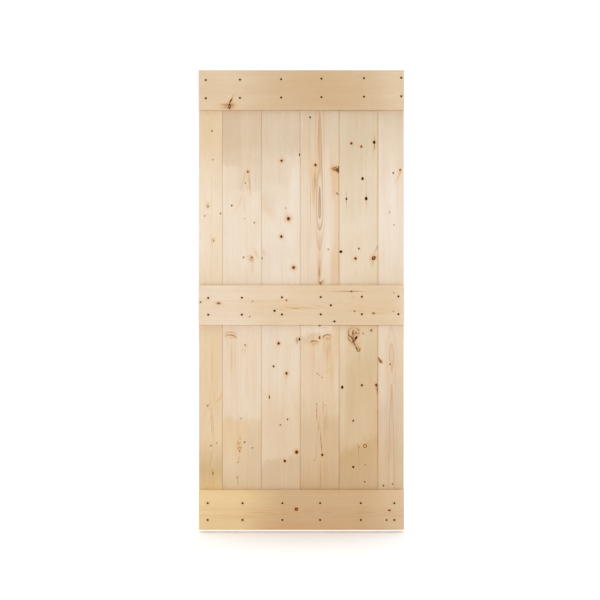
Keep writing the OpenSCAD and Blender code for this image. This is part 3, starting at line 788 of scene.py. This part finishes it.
def screw_shape():
    shape = bmesh.new()
    # The cross recess: its mouth is cut into the head, and its wings draw in as it deepens, to a
    # small floor round the axis.
    reach, half = RECESS_REACH, RECESS_HALF_WIDTH
    corners = [(reach, -half), (reach, half), (half, half), (half, reach), (-half, reach), (-half, half),
               (-reach, half), (-reach, -half), (-half, -half), (-half, -reach), (half, -reach),
               (half, -half)]
    mouth = shape.faces.new([shape.verts.new((x, y, 0)) for x, y in corners])
    floor = bmesh.ops.extrude_discrete_faces(shape, faces=[mouth])["faces"][0]
    for vert in floor.verts:
        inner_corner = max(abs(vert.co.x), abs(vert.co.y)) < half * 1.1
        for axis in (0, 1):
            if inner_corner:
                vert.co[axis] *= 0.75
            elif abs(vert.co[axis]) > half * 1.1:
                vert.co[axis] *= half * 1.3 / reach
            else:
                vert.co[axis] *= 0.8
        vert.co.z = RECESS_DEPTH
    mouth_edges = [edge for edge in shape.edges if len(edge.link_faces) == 1]
    # The head's flat top, then round its rim and down its cone, and the core of the shank.
    previous = ring_of(shape, HEAD_RADIUS - 1.2 * HEAD_EDGE, 0)
    bmesh.ops.triangle_fill(shape, use_beauty=True, edges=mouth_edges + previous)
    neck = HEAD_RIM + HEAD_RADIUS - CORE_RADIUS
    for radius, depth in ((HEAD_RADIUS, HEAD_EDGE), (HEAD_RADIUS, HEAD_RIM),
                          (CORE_RADIUS + 0.35 * MM, neck - 0.3 * MM), (CORE_RADIUS, neck + 0.4 * MM),
                          (CORE_RADIUS, POINT_START), (POINT_RADIUS, SCREW_LENGTH)):
        ring = ring_of(shape, radius, depth)
        bmesh.ops.bridge_loops(shape, edges=previous + ring)
        previous = ring
    bmesh.ops.contextual_create(shape, geom=previous)

    # The thread: a V-shaped rib, its root sunk in the core, wound down to the point. It rises
    # out of the core at its start, and narrows with the point.
    shank = set(shape.verts)
    rib = shape.faces.new([shape.verts.new(corner) for corner in
                           ((THREAD_ROOT, 0, THREAD_START - RIB_HALF_WIDTH),
                            (CREST_RADIUS, 0, THREAD_START),
                            (THREAD_ROOT, 0, THREAD_START + RIB_HALF_WIDTH))])
    steps = round((THREAD_END - THREAD_START) / THREAD_PITCH * STEPS_A_TURN)
    bmesh.ops.spin(shape, geom=[rib], cent=(0, 0, 0), axis=(0, 0, 1),
                   dvec=(0, 0, THREAD_PITCH / STEPS_A_TURN),
                   angle=math.radians(360 / STEPS_A_TURN) * steps, steps=steps, use_duplicate=False)
    for vert in set(shape.verts) - shank:
        if vert.co.xy.length > CORE_RADIUS:
            risen = (vert.co.z - THREAD_START + RIB_HALF_WIDTH) / THREAD_RUN_IN
            height = (CREST_RADIUS - CORE_RADIUS) * min(1.0, max(0.0, risen))
            vert.co.xy = vert.co.xy.normalized() * (CORE_RADIUS + height)
        tapered = max(0.0, vert.co.z - POINT_START) / (SCREW_LENGTH - POINT_START)
        vert.co.xy *= 1 - POINT_TAPER * tapered
    bmesh.ops.recalc_face_normals(shape, faces=shape.faces)
    # Faces square to the axis stay flat, and the rest are shaded round.
    for face in shape.faces:
        face.smooth = abs(face.normal.z) < 0.99
    for edge in shape.edges:
        edge.smooth = edge.calc_face_angle(0) < math.radians(35)
    return shape


def phosphate():
    """The screws' coat of fine dark crystals."""
    material, tree, shader = new_material("screw_phosphate")
    where = new_node(tree, "TexCoord").outputs["Object"]
    place = calc_vector(tree, "MULTIPLY", where, (1 / MM,) * 3)
    crystals = noise(tree, calc_vector(tree, "MULTIPLY", place, (2.4,) * 3), detail=4)
    colour = ramp(tree, crystals, [(0.35, shade(9, 5, 2)), (0.55, shade(14, 8, 4)),
                                   (0.75, shade(32, 22, 14))])
    feed(tree, shader.inputs["Base Color"], colour)
    feed(tree, shader.inputs["Roughness"], calc(tree, "MULTIPLY_ADD", crystals, 0.3, 0.42))
    shader.inputs["Specular IOR Level"].default_value = 0.06
    emboss(tree, shader, crystals, 0.4, 0.03 * MM)
    return material


screw_coat = phosphate()
one_screw = bpy.data.meshes.new("one_screw")
shape = screw_shape()
shape.to_mesh(one_screw)
shape.free()
# Each screw stopped turning where it met the rail, so its cross stands at an angle of its own.
driven = random.Random(11)
for rail in RAIL_LOGS:
    node = rail + "_screws"
    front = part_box(node)[0].y
    shape = bmesh.new()
    for middle in solids_of(node):
        before = set(shape.verts)
        shape.from_mesh(one_screw)
        place = (Matrix.Translation((middle.x, front, middle.z))
                 @ Matrix.Rotation(math.radians(-90), 4, "X")
                 @ Matrix.Rotation(driven.uniform(0, math.tau), 4, "Z"))
        bmesh.ops.transform(shape, matrix=place, verts=list(set(shape.verts) - before))
    mesh = bpy.data.meshes.new(node + "_set")
    shape.to_mesh(mesh)
    shape.free()
    mesh.materials.append(screw_coat)
    screws = put_in_scene(node + "_set", mesh)
    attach(screws, "root")
    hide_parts(node)
bpy.data.meshes.remove(one_screw)


# ---------------------------------------------------------------- Studio
# A pale floor just below the hung slab, a soft white room with one softbox to the right of the
# camera, and a camera that looks straight at the door from its middle height.
FLOOR_GAP = 12 * MM
FLOOR_HALF_WIDTH = 30
ROOM_LIGHT = 0.545
WALL_LIGHT = 0.46
CEILING_LIGHT = 0.9
CAMERA_DISTANCE = 6.5755
CAMERA_LEFT = 6.3 * MM
low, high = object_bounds()
middle = (low + high) / 2

floor_mesh = bpy.data.meshes.new("floor")
shape = bmesh.new()
bmesh.ops.create_grid(shape, x_segments=1, y_segments=1, size=FLOOR_HALF_WIDTH,
                      matrix=Matrix.Translation((0, 0, low.z - FLOOR_GAP)))
shape.to_mesh(floor_mesh)
shape.free()
floor = put_in_scene("floor", floor_mesh)
floor_paint, tree, shader = new_material("floor_paint")
shader.inputs["Base Color"].default_value = shade(250, 250, 250)
shader.inputs["Roughness"].default_value = 0.8
floor_mesh.materials.append(floor_paint)

world = bpy.data.worlds.new("studio")
world.use_nodes = True
bpy.context.scene.world = world
tree = world.node_tree
heading = split(tree, new_node(tree, "TexCoord").outputs["Generated"])
# The white wall behind the slab, the dimmer room in front of it and the bright ceiling.
wall = ramp(tree, calc(tree, "MULTIPLY_ADD", heading["Y"], 0.5, 0.5), [(0.45, 0.0), (0.75, 1.0)])
walls = calc(tree, "MULTIPLY_ADD", wall, WALL_LIGHT, ROOM_LIGHT)
ceiling = calc(tree, "MULTIPLY", heading["Z"], 1.1, clamp=True)
ceiling = calc(tree, "MULTIPLY", calc(tree, "MULTIPLY", ceiling, ceiling), CEILING_LIGHT)
feed(tree, tree.nodes["Background"].inputs["Strength"], calc(tree, "ADD", walls, ceiling))
tree.nodes["Background"].inputs["Color"].default_value = (1, 1, 1, 1)

lamp = bpy.data.lights.new("softbox", "AREA")
lamp.shape = "SQUARE"
lamp.size = 1.6
lamp.energy = 10
softbox = put_in_scene("softbox", lamp)
softbox.location = (1.2, -5.2, 2.4)
softbox.rotation_euler = (middle - softbox.location).to_track_quat("-Z", "Y").to_euler()

camera_data = bpy.data.cameras.new("camera")
camera_data.lens = 85
camera_data.sensor_width = 36
camera = put_in_scene("camera", camera_data)
camera.location = (-CAMERA_LEFT, low.y - CAMERA_DISTANCE, middle.z)
camera.rotation_euler = (math.radians(90), 0, 0)
bpy.context.scene.camera = camera
bpy.context.scene.view_settings.view_transform = "Standard"
